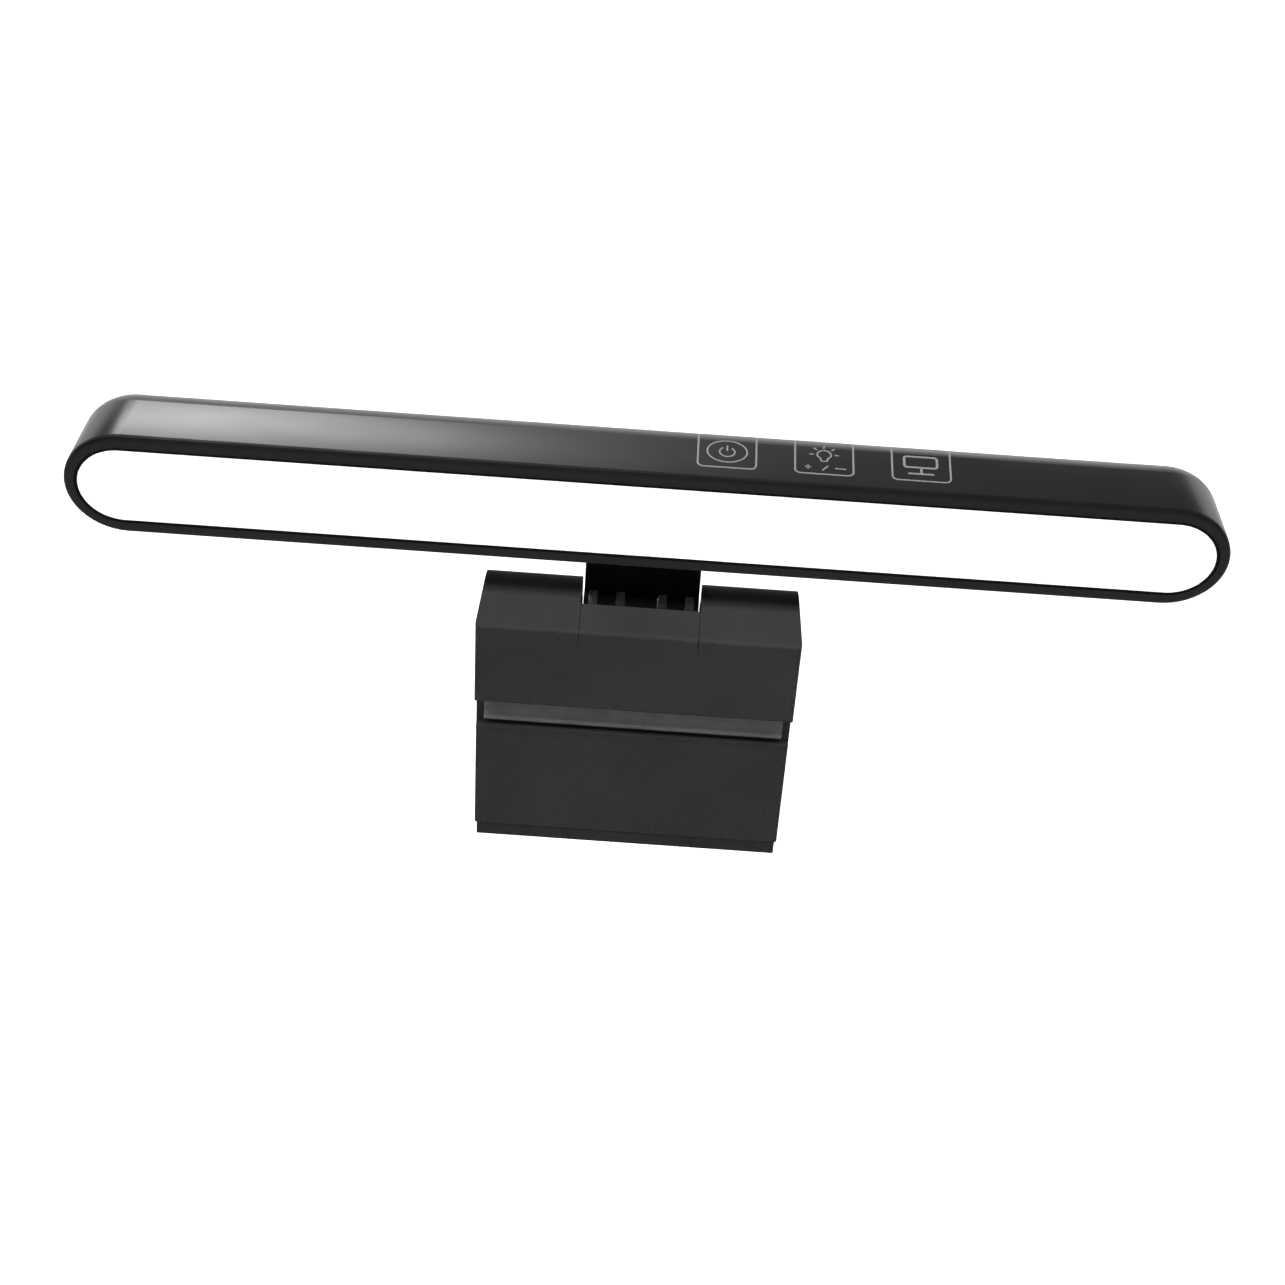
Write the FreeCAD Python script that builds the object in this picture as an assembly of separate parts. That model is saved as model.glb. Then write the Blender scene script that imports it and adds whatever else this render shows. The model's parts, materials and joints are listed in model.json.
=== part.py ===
import FreeCAD, Part
import math
import os

# Clip-on light bar for the top edge of a screen, in millimetres.
# X runs along the bar, -Y is the front (the lit side), +Z is up.
# The origin is the centre of the seat pad's underside, where the screen's top edge touches.

# ---------------------------------------------------------------- driving dimensions
# Light bar
BAR_LENGTH = 260.5
BAR_HEIGHT = 27.1
BAR_DEPTH = 21.0
BAR_FRONT_Y = -4.3
BAR_CENTRE_Z = 47.1
BAR_BACK_ROUND = 6.8
BAR_DRAFT = 0.03
BAR_END_DRAFT = 0.091
BAR_WALL = 1.6
BEZEL_THICK = 1.5
BEZEL_EDGE_ROUND = 0.8
WINDOW_LENGTH = 255.8
WINDOW_HEIGHT = 21.5
DIFFUSER_RECESS = 0.1
DIFFUSER_FLANGE = 1.2
SLIDING_GAP = 0.1

# Lights
LED_COUNT = 33
LED_PITCH = 7.0
LED_SIZE = (2.8, 0.8, 3.5)
LED_BOARD_HALF = 118.0
LED_BOARD_TALL = 10.0
BOARD_THICK = 1.0
TRAY_DEPTH = 3.5
TRAY_WALL = 0.8
SPREADER_HALF = 112.0
SPREADER_TALL = 18.8
SPREADER_THICK = 1.5

# Electronics
CONTROL_BOARD_X = (14.0, 80.0)
CONTROL_BOARD_TALL = 9.6
CONTROL_BOARD_Y = 6.5
KEY_PITCH = 21.6
KEY_MIDDLE_X = 38.4
KEY_WIDTH = 13.25
TOUCH_BOARD_Y = (3.8, 8.6)
TOUCH_BOARD_GAP = 0.3
SOCKET_X = -40.0
SOCKET_SIZE = (8.94, 7.3, 3.26)
SOCKET_WALL = 0.3
SOCKET_MOUTH_GAP = 0.15
TONGUE_SIZE = (6.7, 5.2, 0.7)
POWER_BOARD_X = (-52.0, -28.0)
WIRE_R = 0.6

# Clip head
HEAD_WIDTH = 75.25
HEAD_TAPER_DEG = 3.0
HEAD_FRONT_Y = -9.0
HEAD_TOP_Z = 17.0
HEAD_UNDER_Z = 1.5
HEAD_WALL = 2.0
HEAD_EDGE_ROUND = 0.9
HEAD_CORNER_ROUND = 1.0
LIP_BOTTOM_Z = -7.6
LIP_THICK = 2.6
LUG_R = 8.0
NOTCH_WIDTH = 28.0
NOTCH_FRONT_Y = 0.8
BASE_THICK = 1.7
COVER_WIDTH = 27.5
COVER_DROP = 4.7
COVER_THICK = 1.4
COVER_SEAM = 0.12
PAD_THICK = 1.2
SEAT_HALF = (34.0, 4.7)

# Tilt hinge between head and neck
TILT_AXIS = (7.4, 9.0)
TILT_PIN_R = 1.5
TILT_PIN_HALF = 23.0
BUSH_R = 2.6
BUSH_LENGTH = 6.0
BUSH_FLANGE_R = 4.2
BUSH_FLANGE_THICK = 0.2
BARREL_R = 5.3
RING_R = 5.5
RING_WIDTH = 2.1
RING_X = (-11.3, -4.9, 4.9, 11.3)
RUNNING_GAP = 0.05

# Neck
NECK_WIDTH = 27.0
NECK_FRONT_Y = 8.7
NECK_SPLIT_Y = 11.6
NECK_BACK_Y = 14.2
NECK_EDGE_ROUND = 1.2
BRACKET_HALF = 8.5
BRACKET_THICK = 1.5
BRACKET_FLANGE_Y = 4.6

# Leg hinge and spring
LEG_AXIS = (11.6, -2.8)
LEG_PIN_R = 1.5
LEG_PIN_HALF = 35.0
KNUCKLE_R = 3.4
HEAD_KNUCKLES = ((-28.0, -18.0), (18.0, 28.0))
LEG_KNUCKLES = ((-36.0, -28.5), (-17.5, -9.5), (9.5, 17.5), (28.5, 36.0))
SPRING_WIRE_R = 0.4
SPRING_COIL_R = 2.3
SPRING_TURNS = 7
SPRING_LENGTH = 13.0

# Leg
LEG_FRONT_Y = -2.6
LEG_BACK_Y = 6.4
LEG_SHOULDER_Z = -9.5
LEG_NAPE_Z = -20.0
LEG_WALL = 2.0
RECESS_BOTTOM_Z = -21.0
RECESS_DEPTH = 1.6
RECESS_EDGE_ROUND = 0.6
LEG_PAD_WIDTH = 71.3
LEG_PAD_Z = (-18.65, -10.2)
RIDGE_Z = (-17.35, -14.3)
RIDGE_HEIGHT = 0.7
RIDGE_DIP = 0.4
RIDGE_TIP_HALF = 0.45
RIDGE_BASE_HALF = 1.2
FOOT_TOP_Z = -55.05
FOOT_BOTTOM_Z = -60.05
FOOT_INSET = 0.55
FOOT_EDGE_ROUND = 1.2
FOOT_TONGUE_HALF = 20.0
FOOT_TONGUE_Y = (0.4, 3.4)
COVER_PLATE = 1.8

# Small pan-head screws
SCREW_R = 1.0
SCREW_HEAD_R = 1.9
SCREW_HEAD_H = 1.2
SCREW_HOLE_R = 1.04
CROSS_WIDTH = 0.5
CROSS_DEPTH = 0.7

# ---------------------------------------------------------------- derived dimensions
BAR_R = BAR_HEIGHT / 2
BAR_HALF = BAR_LENGTH / 2 - BAR_R
BAR_BACK_Y = BAR_FRONT_Y + BAR_DEPTH
HOUSING_FRONT_Y = BAR_FRONT_Y + BEZEL_THICK
INNER_R = BAR_R - BAR_WALL
WINDOW_R = WINDOW_HEIGHT / 2
WINDOW_HALF = WINDOW_LENGTH / 2 - WINDOW_R
TRAY_R = INNER_R - SLIDING_GAP
TRAY_FRONT_Y = HOUSING_FRONT_Y + DIFFUSER_FLANGE
TRAY_BACK_Y = TRAY_FRONT_Y + TRAY_DEPTH
SPREADER_BACK_Y = TRAY_BACK_Y + SPREADER_THICK
INNER_BACK_Y = BAR_BACK_Y - BAR_WALL
LED_BOARD_BACK_Y = TRAY_BACK_Y - TRAY_WALL
LED_BOARD_FRONT_Y = LED_BOARD_BACK_Y - BOARD_THICK
HEAD_HALF = HEAD_WIDTH / 2
HEAD_BACK_Y = TILT_AXIS[0] + LUG_R
LIP_BACK_Y = HEAD_FRONT_Y + LIP_THICK
LIP_PAD_Y = LIP_BACK_Y + PAD_THICK
BASE_TOP_Z = HEAD_UNDER_Z + BASE_THICK
TUBE_BORE_R = TILT_PIN_R + RUNNING_GAP
TOUCH_TOP_FALL = BAR_DRAFT * (TOUCH_BOARD_Y[1] - HOUSING_FRONT_Y)
TOUCH_BOARD_TOP_Z = BAR_CENTRE_Z + INNER_R - TOUCH_TOP_FALL - TOUCH_BOARD_GAP

SCREW_POSTS = ((-108, 7.2), (-60, -7.2), (-22, 7.2), (22, 7.2), (60, -7.2), (108, 7.2))
POST_R = 2.2
BASE_SCREWS = ((-31.0, -2.0), (-19.0, -2.0), (19.0, -2.0), (31.0, -2.0))
NECK_SCREWS = ((-10.7, 17.5), (10.7, 17.5), (-10.7, 30.0), (10.7, 30.0))
LEG_SCREWS = ((-31.5, -25.5), (31.5, -25.5), (-31.5, -50.5), (31.5, -50.5))
BRACKET_SCREW_X = (-5.5, 5.5)
BRACKET_SCREW_Y = 7.0
BRACKET_SCREW_LENGTH = 3.5

X_AXIS = FreeCAD.Vector(1, 0, 0)
Y_AXIS = FreeCAD.Vector(0, 1, 0)
Z_AXIS = FreeCAD.Vector(0, 0, 1)


# ---------------------------------------------------------------- building blocks
def box(x, y, z):
    """A block between the two limits given for each axis."""
    corner = FreeCAD.Vector(min(x), min(y), min(z))
    return Part.makeBox(abs(x[1] - x[0]), abs(y[1] - y[0]), abs(z[1] - z[0]), corner)


def rod_x(radius, x, centre):
    """A round bar along X, centred on a (y, z) point."""
    start = FreeCAD.Vector(min(x), centre[0], centre[1])
    return Part.makeCylinder(radius, abs(x[1] - x[0]), start, X_AXIS)


def rod_y(radius, y, x, z):
    """A round bar along Y."""
    return Part.makeCylinder(radius, y[1] - y[0], FreeCAD.Vector(x, y[0], z), Y_AXIS)


def rod_z(radius, z, x, y):
    """A round bar along Z."""
    return Part.makeCylinder(radius, z[1] - z[0], FreeCAD.Vector(x, y, z[0]), Z_AXIS)


def prism_x(points, x):
    """A (y, z) polygon pushed along X."""
    corners = [FreeCAD.Vector(min(x), y, z) for y, z in points]
    face = Part.Face(Part.makePolygon(corners + corners[:1]))
    return face.extrude(FreeCAD.Vector(abs(x[1] - x[0]), 0, 0))


def join(shapes):
    """One solid from touching or overlapping solids."""
    whole = shapes[0]
    for shape in shapes[1:]:
        whole = whole.fuse(shape)
    return whole.removeSplitter()


def cut(shape, tools):
    """The shape with every tool taken away."""
    for tool in tools:
        shape = shape.cut(tool)
    return shape


def round_edges(shape, radius, wanted):
    """The shape with the edges that pass the test rounded."""
    edges = [edge for edge in shape.Edges if wanted(edge)]
    return shape.makeFillet(radius, edges)


def lies_at(edge, axis, value):
    """True for an edge that lies in one plane across the axis."""
    low = getattr(edge.BoundBox, axis + "Min")
    high = getattr(edge.BoundBox, axis + "Max")
    return abs(low - value) < 1e-4 and abs(high - value) < 1e-4


def runs_along(edge, axis, length):
    """True for an edge at least this long, parallel to an axis."""
    spans = {name: getattr(edge.BoundBox, name + "Length") for name in "XYZ"}
    across = [span for name, span in spans.items() if name != axis]
    return spans[axis] >= length and max(across) < 1e-4


def stadium_outline(radius, half, y):
    """A closed outline with straight sides and half-round ends, on the bar's centre line."""
    top = BAR_CENTRE_Z + radius
    low = BAR_CENTRE_Z - radius

    def point(x, z):
        return FreeCAD.Vector(x, y, z)

    edges = [
        Part.LineSegment(point(-half, top), point(half, top)),
        Part.Arc(point(half, top), point(half + radius, BAR_CENTRE_Z), point(half, low)),
        Part.LineSegment(point(half, low), point(-half, low)),
        Part.Arc(point(-half, low), point(-half - radius, BAR_CENTRE_Z), point(-half, top)),
    ]
    return Part.Wire([edge.toShape() for edge in edges])


def stadium(radius, y, half=BAR_HALF):
    """A straight slab with that outline."""
    face = Part.Face(stadium_outline(radius, half, y[0]))
    return face.extrude(FreeCAD.Vector(0, y[1] - y[0], 0))


def drafted_stadium(radius, back_y, back_round):
    """The body behind the bezel: a slab that narrows to the back, where its edge is rounded."""
    depth = back_y - HOUSING_FRONT_Y
    front = stadium_outline(radius, BAR_HALF, HOUSING_FRONT_Y)
    back_radius = radius - BAR_DRAFT * depth
    back_half = BAR_HALF - BAR_END_DRAFT * depth
    back = stadium_outline(back_radius, back_half, back_y)
    slab = Part.makeLoft([front, back], True, True)
    return round_edges(slab, back_round, lambda edge: lies_at(edge, "Y", back_y))


def screw(seat, direction, length):
    """A cross-head screw whose head bears on the seat point; the shank runs along direction."""
    head_top = -SCREW_HEAD_H
    head = Part.makeCylinder(SCREW_HEAD_R, SCREW_HEAD_H, FreeCAD.Vector(0, 0, head_top))
    head = round_edges(head, SCREW_HEAD_H / 3, lambda edge: lies_at(edge, "Z", head_top))
    body = head.fuse(Part.makeCylinder(SCREW_R, length)).removeSplitter()
    arm = SCREW_HEAD_R * 0.6
    for wide, deep in ((arm, CROSS_WIDTH / 2), (CROSS_WIDTH / 2, arm)):
        slot = box((-wide, wide), (-deep, deep), (head_top - 1, head_top + CROSS_DEPTH))
        body = body.cut(slot)
    turn = FreeCAD.Rotation(Z_AXIS, FreeCAD.Vector(*direction))
    body.Placement = FreeCAD.Placement(FreeCAD.Vector(*seat), turn)
    return body


def tube_route(points, radius, bend):
    """A round wire through the points, with an arc of one radius at each corner."""
    path = []
    start = points[0]
    for before, corner, after in zip(points, points[1:], points[2:]):
        incoming = (corner - before).normalize()
        outgoing = (after - corner).normalize()
        turn = incoming.getAngle(outgoing)
        reach = bend * math.tan(turn / 2)
        arc_in = corner - incoming * reach
        arc_out = corner + outgoing * reach
        inward = (outgoing - incoming).normalize()
        middle = corner + inward * (bend / math.cos(turn / 2) - bend)
        path.append(Part.LineSegment(start, arc_in).toShape())
        path.append(Part.Arc(arc_in, middle, arc_out).toShape())
        start = arc_out
    path.append(Part.LineSegment(start, points[-1]).toShape())
    ring = Part.Wire(Part.Circle(points[0], points[1] - points[0], radius).toShape())
    return Part.Wire(path).makePipeShell([ring], True, False)


def bar_body():
    """The outer form of the bar behind its bezel."""
    return drafted_stadium(BAR_R, BAR_BACK_Y, BAR_BACK_ROUND)


# ---------------------------------------------------------------- light bar
def bar_housing():
    """The long shell: open at the front, with screw posts, a socket mouth and a neck slot."""
    hollow = drafted_stadium(INNER_R, INNER_BACK_Y, BAR_BACK_ROUND - BAR_WALL)
    tray_seat = stadium(INNER_R, (HOUSING_FRONT_Y - 1, TRAY_BACK_Y))
    shell = cut(bar_body(), [hollow, tray_seat])
    posts = [
        rod_y(POST_R, (SPREADER_BACK_Y, INNER_BACK_Y + BAR_WALL / 2), x, BAR_CENTRE_Z + z)
        for x, z in SCREW_POSTS
    ]
    boss_z = (BAR_CENTRE_Z - BAR_R + BAR_WALL / 2, bracket_flange_z()[0])
    bosses = [rod_z(POST_R, boss_z, x, BRACKET_SCREW_Y) for x in BRACKET_SCREW_X]
    shell = join([shell] + posts + bosses)
    holes = [
        rod_y(SCREW_HOLE_R, (SPREADER_BACK_Y - 1, INNER_BACK_Y - 2), x, BAR_CENTRE_Z + z)
        for x, z in SCREW_POSTS
    ]
    blind = (BAR_CENTRE_Z - BAR_R + BAR_WALL / 2, BAR_CENTRE_Z)
    holes += [rod_z(SCREW_HOLE_R, blind, x, BRACKET_SCREW_Y) for x in BRACKET_SCREW_X]
    mouth_x = SOCKET_SIZE[0] / 2 + SOCKET_MOUTH_GAP
    mouth_z = SOCKET_SIZE[2] / 2 + SOCKET_MOUTH_GAP
    mouth = box(
        (SOCKET_X - mouth_x, SOCKET_X + mouth_x),
        (INNER_BACK_Y - 1, BAR_BACK_Y + 1),
        (BAR_CENTRE_Z - mouth_z, BAR_CENTRE_Z + mouth_z),
    )
    mouth = round_edges(mouth, mouth_z * 0.95, lambda edge: runs_along(edge, "Y", 1.0))
    gap = SLIDING_GAP
    plate_y = bracket_plate_y()
    slot = box(
        (-BRACKET_HALF - gap, BRACKET_HALF + gap),
        (plate_y[0] - gap, plate_y[1] + gap),
        (BAR_CENTRE_Z - BAR_R - 1, bracket_flange_z()[1]),
    )
    return cut(shell, holes + [mouth, slot])


def front_bezel():
    """The rim round the lit window."""
    ring = stadium(BAR_R, (BAR_FRONT_Y, HOUSING_FRONT_Y))
    ring = round_edges(ring, BEZEL_EDGE_ROUND, lambda edge: lies_at(edge, "Y", BAR_FRONT_Y))
    return ring.cut(stadium(WINDOW_R, (BAR_FRONT_Y - 1, HOUSING_FRONT_Y + 1), WINDOW_HALF))


def diffuser():
    """The opal window: a face inside the rim and a wider flange behind it."""
    face_y = BAR_FRONT_Y + DIFFUSER_RECESS
    face = stadium(WINDOW_R - SLIDING_GAP, (face_y, TRAY_FRONT_Y), WINDOW_HALF)
    flange = stadium(TRAY_R, (HOUSING_FRONT_Y, TRAY_FRONT_Y))
    return join([face, flange])


def reflector_tray():
    """The white trough that holds the lights."""
    tray = stadium(TRAY_R, (TRAY_FRONT_Y, TRAY_BACK_Y))
    trough = stadium(TRAY_R - TRAY_WALL, (TRAY_FRONT_Y - 1, LED_BOARD_BACK_Y))
    through = (LED_BOARD_BACK_Y - 1, TRAY_BACK_Y + 1)
    holes = [rod_y(SCREW_HOLE_R, through, x, BAR_CENTRE_Z + z) for x, z in SCREW_POSTS]
    return cut(tray, holes + [trough, box(*lead_window(through))])


def lead_window(y):
    """The limits of the window that the light leads pass through."""
    x = CONTROL_BOARD_X[1] + 6.0
    return (x - 3.0, x + 3.0), y, (BAR_CENTRE_Z - 1.6, BAR_CENTRE_Z + 1.6)


def led_board():
    """The aluminium strip behind the lights."""
    x = (-LED_BOARD_HALF, LED_BOARD_HALF)
    z = (BAR_CENTRE_Z - LED_BOARD_TALL / 2, BAR_CENTRE_Z + LED_BOARD_TALL / 2)
    board = box(x, (LED_BOARD_FRONT_Y, LED_BOARD_BACK_Y), z)
    return board.cut(box(*lead_window((LED_BOARD_FRONT_Y - 1, LED_BOARD_BACK_Y + 1))))


def leds(first):
    """Every second light along the strip, starting at the first or the second."""
    wide, deep, tall = LED_SIZE
    packages = []
    for number in range(first, LED_COUNT, 2):
        x = (number - (LED_COUNT - 1) / 2) * LED_PITCH
        package = box(
            (x - wide / 2, x + wide / 2),
            (LED_BOARD_FRONT_Y - deep, LED_BOARD_FRONT_Y),
            (BAR_CENTRE_Z - tall / 2, BAR_CENTRE_Z + tall / 2),
        )
        packages.append(package)
    return Part.makeCompound(packages)


def heat_spreader():
    """The aluminium plate behind the trough."""
    z = (BAR_CENTRE_Z - SPREADER_TALL / 2, BAR_CENTRE_Z + SPREADER_TALL / 2)
    plate = box((-SPREADER_HALF, SPREADER_HALF), (TRAY_BACK_Y, SPREADER_BACK_Y), z)
    through = (TRAY_BACK_Y - 1, SPREADER_BACK_Y + 1)
    holes = [rod_y(SCREW_HOLE_R, through, x, BAR_CENTRE_Z + z) for x, z in SCREW_POSTS]
    return cut(plate, holes + [box(*lead_window(through))])


def bar_screws():
    """The screws that hold trough and heat spreader to the housing's posts."""
    seats = [(x, LED_BOARD_BACK_Y, BAR_CENTRE_Z + z) for x, z in SCREW_POSTS]
    length = INNER_BACK_Y - 3.0 - LED_BOARD_BACK_Y
    return Part.makeCompound([screw(seat, (0, 1, 0), length) for seat in seats])


def control_board():
    """The upright circuit board behind the heat spreader."""
    half = CONTROL_BOARD_TALL / 2
    y = (CONTROL_BOARD_Y, CONTROL_BOARD_Y + BOARD_THICK)
    return box(CONTROL_BOARD_X, y, (BAR_CENTRE_Z - half, BAR_CENTRE_Z + half))


def control_chips():
    """The driver, the touch chip, an inductor and a row of small chips on the board's back."""
    back = CONTROL_BOARD_Y + BOARD_THICK
    middle = sum(CONTROL_BOARD_X) / 2
    chips = []
    for offset, size, tall in ((-18.0, 5.0, 1.4), (4.0, 7.0, 1.4), (20.0, 6.0, 3.2)):
        x = middle + offset
        z = (BAR_CENTRE_Z - size / 2, BAR_CENTRE_Z + size / 2)
        chips.append(box((x - size / 2, x + size / 2), (back, back + tall), z))
    for number in range(5):
        x = middle - 12.0 + number * 2.4
        z = (BAR_CENTRE_Z - 3.4, BAR_CENTRE_Z - 2.2)
        chips.append(box((x, x + 1.4), (back, back + 0.7), z))
    return Part.makeCompound(chips)


def touch_board():
    """The sensor board just under the top wall, below the three touch keys."""
    half = KEY_PITCH + KEY_WIDTH / 2 + 1.0
    x = (KEY_MIDDLE_X - half, KEY_MIDDLE_X + half)
    return box(x, TOUCH_BOARD_Y, (TOUCH_BOARD_TOP_Z - BOARD_THICK, TOUCH_BOARD_TOP_Z))


def touch_electrodes():
    """Three copper pads on the sensor board, one under each key."""
    z = (TOUCH_BOARD_TOP_Z, TOUCH_BOARD_TOP_Z + 0.15)
    pads = []
    for step in (-1, 0, 1):
        x = KEY_MIDDLE_X + step * KEY_PITCH
        reach = (x - KEY_WIDTH / 2, x + KEY_WIDTH / 2)
        y = (TOUCH_BOARD_Y[0] + 0.4, TOUCH_BOARD_Y[1] - 0.4)
        pads.append(box(reach, y, z))
    return Part.makeCompound(pads)


def touch_ribbon():
    """The flat lead from the sensor board down to the control board."""
    z = (BAR_CENTRE_Z + CONTROL_BOARD_TALL / 2, TOUCH_BOARD_TOP_Z - BOARD_THICK)
    x = (KEY_MIDDLE_X + 6.0, KEY_MIDDLE_X + 12.0)
    return box(x, (CONTROL_BOARD_Y + 0.3, CONTROL_BOARD_Y + 0.6), z)


def usb_shell():
    """The steel shell of the power socket, open to the back."""
    wide, deep, tall = SOCKET_SIZE

    def tube(inset, front, back):
        x = wide / 2 - inset
        z = tall / 2 - inset
        y = (front, back)
        shape = box((SOCKET_X - x, SOCKET_X + x), y, (BAR_CENTRE_Z - z, BAR_CENTRE_Z + z))
        return round_edges(shape, z * 0.95, lambda edge: runs_along(edge, "Y", 1.0))

    front = BAR_BACK_Y - 0.2 - deep
    back = BAR_BACK_Y - 0.2
    return tube(0, front, back).cut(tube(SOCKET_WALL, front + SOCKET_WALL, back + 1))


def usb_tongue():
    """The contact tongue inside the power socket."""
    wide, deep, tall = TONGUE_SIZE
    front = BAR_BACK_Y - 0.2 - SOCKET_SIZE[1] + SOCKET_WALL
    x = (SOCKET_X - wide / 2, SOCKET_X + wide / 2)
    return box(x, (front, front + deep), (BAR_CENTRE_Z - tall / 2, BAR_CENTRE_Z + tall / 2))


def power_board():
    """The small board that the power socket stands on."""
    top = BAR_CENTRE_Z - SOCKET_SIZE[2] / 2
    return box(POWER_BOARD_X, (7.4, INNER_BACK_Y - 0.2), (top - BOARD_THICK, top))


def power_leads():
    """Two wires from the power board to the control board."""
    leads = []
    for number in range(2):
        drop = number * 3 * WIRE_R
        z = BAR_CENTRE_Z - 3.4 - drop
        y = CONTROL_BOARD_Y + BOARD_THICK / 2
        start = FreeCAD.Vector(POWER_BOARD_X[1] - 2.0 - drop, 8.4, BAR_CENTRE_Z - 2.7)
        points = [
            start,
            FreeCAD.Vector(start.x, 8.4, z - 1.0),
            FreeCAD.Vector(start.x + 8.0, y, z - 1.0),
            FreeCAD.Vector(CONTROL_BOARD_X[0] - 5.0, y, z - 1.0),
            FreeCAD.Vector(CONTROL_BOARD_X[0] - 0.4, y, z + 2.0),
        ]
        leads.append(tube_route(points, WIRE_R, 0.9))
    return Part.makeCompound(leads)


def light_leads():
    """Two wires from the control board, through the trough, to the light strip."""
    leads = []
    for side in (-1, 1):
        z = BAR_CENTRE_Z + side * 0.8
        x = CONTROL_BOARD_X[1] + 6.0
        y = CONTROL_BOARD_Y + BOARD_THICK / 2
        points = [
            FreeCAD.Vector(CONTROL_BOARD_X[1], y, z),
            FreeCAD.Vector(x, y, z),
            FreeCAD.Vector(x, LED_BOARD_FRONT_Y, z),
        ]
        leads.append(tube_route(points, WIRE_R, 1.5))
    return Part.makeCompound(leads)


# ---------------------------------------------------------------- neck
def bracket_plate_y():
    """Front and back of the neck's steel plate."""
    return NECK_SPLIT_Y - BRACKET_THICK / 2, NECK_SPLIT_Y + BRACKET_THICK / 2


def bracket_flange_z():
    """Underside and top of the plate's flange inside the bar."""
    under = BAR_CENTRE_Z - 10.2
    return under, under + BRACKET_THICK


def bracket_bottom_z():
    """The lower end of the neck's steel plate."""
    return TILT_AXIS[1] + BARREL_R + 1.0


def neck_bracket():
    """The steel plate inside the neck, folded forward at its top."""
    plate_y = bracket_plate_y()
    flange_z = bracket_flange_z()
    x = (-BRACKET_HALF, BRACKET_HALF)
    upright = box(x, plate_y, (bracket_bottom_z(), flange_z[1]))
    flange = box(x, (BRACKET_FLANGE_Y, plate_y[1]), flange_z)
    bracket = join([upright, flange])
    through = (flange_z[0] - 1, flange_z[1] + 1)
    holes = [rod_z(SCREW_HOLE_R, through, x, BRACKET_SCREW_Y) for x in BRACKET_SCREW_X]
    return cut(bracket, holes)


def bracket_screws():
    """The screws that hold the neck's plate to the floor of the bar."""
    top = bracket_flange_z()[1]
    seats = [(x, BRACKET_SCREW_Y, top) for x in BRACKET_SCREW_X]
    return Part.makeCompound([screw(seat, (0, 0, -1), BRACKET_SCREW_LENGTH) for seat in seats])


def neck_blade(y):
    """One half of the neck's upright part, ending on the underside of the bar."""
    half = NECK_WIDTH / 2
    blade = box((-half, half), y, (TILT_AXIS[1], BAR_CENTRE_Z))
    outer_y = y[1] if y[1] == NECK_BACK_Y else y[0]
    blade = round_edges(
        blade,
        NECK_EDGE_ROUND,
        lambda edge: runs_along(edge, "Z", 5.0) and abs(edge.BoundBox.YMin - outer_y) < 1e-4,
    )
    return blade.cut(bar_body())


def bracket_pocket():
    """The hollow that the steel plate fills."""
    plate_y = bracket_plate_y()
    half = BRACKET_HALF + SLIDING_GAP
    y = (plate_y[0] - SLIDING_GAP, plate_y[1] + SLIDING_GAP)
    return box((-half, half), y, (bracket_bottom_z() - SLIDING_GAP, BAR_CENTRE_Z))


def neck_front_shell():
    """The front half of the neck with the hinge barrel across its foot."""
    half = NECK_WIDTH / 2
    barrel = rod_x(BARREL_R, (-half, half), TILT_AXIS)
    shell = join([neck_blade((NECK_FRONT_Y, NECK_SPLIT_Y)), barrel])
    bore = rod_x(TUBE_BORE_R, (-half - 1, half + 1), TILT_AXIS)
    grooves = []
    for x in RING_X:
        reach = RING_WIDTH / 2 + RUNNING_GAP
        grooves.append(rod_x(RING_R + SLIDING_GAP, (x - reach, x + reach), TILT_AXIS))
    holes = [rod_y(SCREW_HOLE_R, (NECK_FRONT_Y + 1, NECK_BACK_Y), x, z) for x, z in NECK_SCREWS]
    return cut(shell, [bore, bracket_pocket()] + grooves + holes)


def neck_rear_shell():
    """The back half of the neck, chamfered at its foot."""
    shell = neck_blade((NECK_SPLIT_Y, NECK_BACK_Y))
    corner = 1.6
    wedge = prism_x(
        [
            (NECK_BACK_Y - corner, TILT_AXIS[1]),
            (NECK_BACK_Y + 1, TILT_AXIS[1] + corner + 1),
            (NECK_BACK_Y + 1, TILT_AXIS[1]),
        ],
        (-NECK_WIDTH, NECK_WIDTH),
    )
    hollow = rod_x(RING_R + SLIDING_GAP, (-NECK_WIDTH, NECK_WIDTH), TILT_AXIS)
    holes = []
    for x, z in NECK_SCREWS:
        holes.append(rod_y(SCREW_HOLE_R, (NECK_SPLIT_Y - 1, NECK_BACK_Y + 1), x, z))
        seat = NECK_BACK_Y - SCREW_HEAD_H
        holes.append(rod_y(SCREW_HEAD_R + SLIDING_GAP, (seat, NECK_BACK_Y + 1), x, z))
    return cut(shell, [wedge, hollow, bracket_pocket()] + holes)


def neck_screws():
    """The screws that close the neck from behind."""
    seats = [(x, NECK_BACK_Y - SCREW_HEAD_H, z) for x, z in NECK_SCREWS]
    return Part.makeCompound([screw(seat, (0, -1, 0), 3.0) for seat in seats])


def friction_rings():
    """Four steel rings in the barrel that grip the hinge pin."""
    rings = []
    for x in RING_X:
        reach = (x - RING_WIDTH / 2, x + RING_WIDTH / 2)
        ring = rod_x(RING_R, reach, TILT_AXIS)
        rings.append(ring.cut(rod_x(TUBE_BORE_R, (x - RING_WIDTH, x + RING_WIDTH), TILT_AXIS)))
    return Part.makeCompound(rings)


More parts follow.
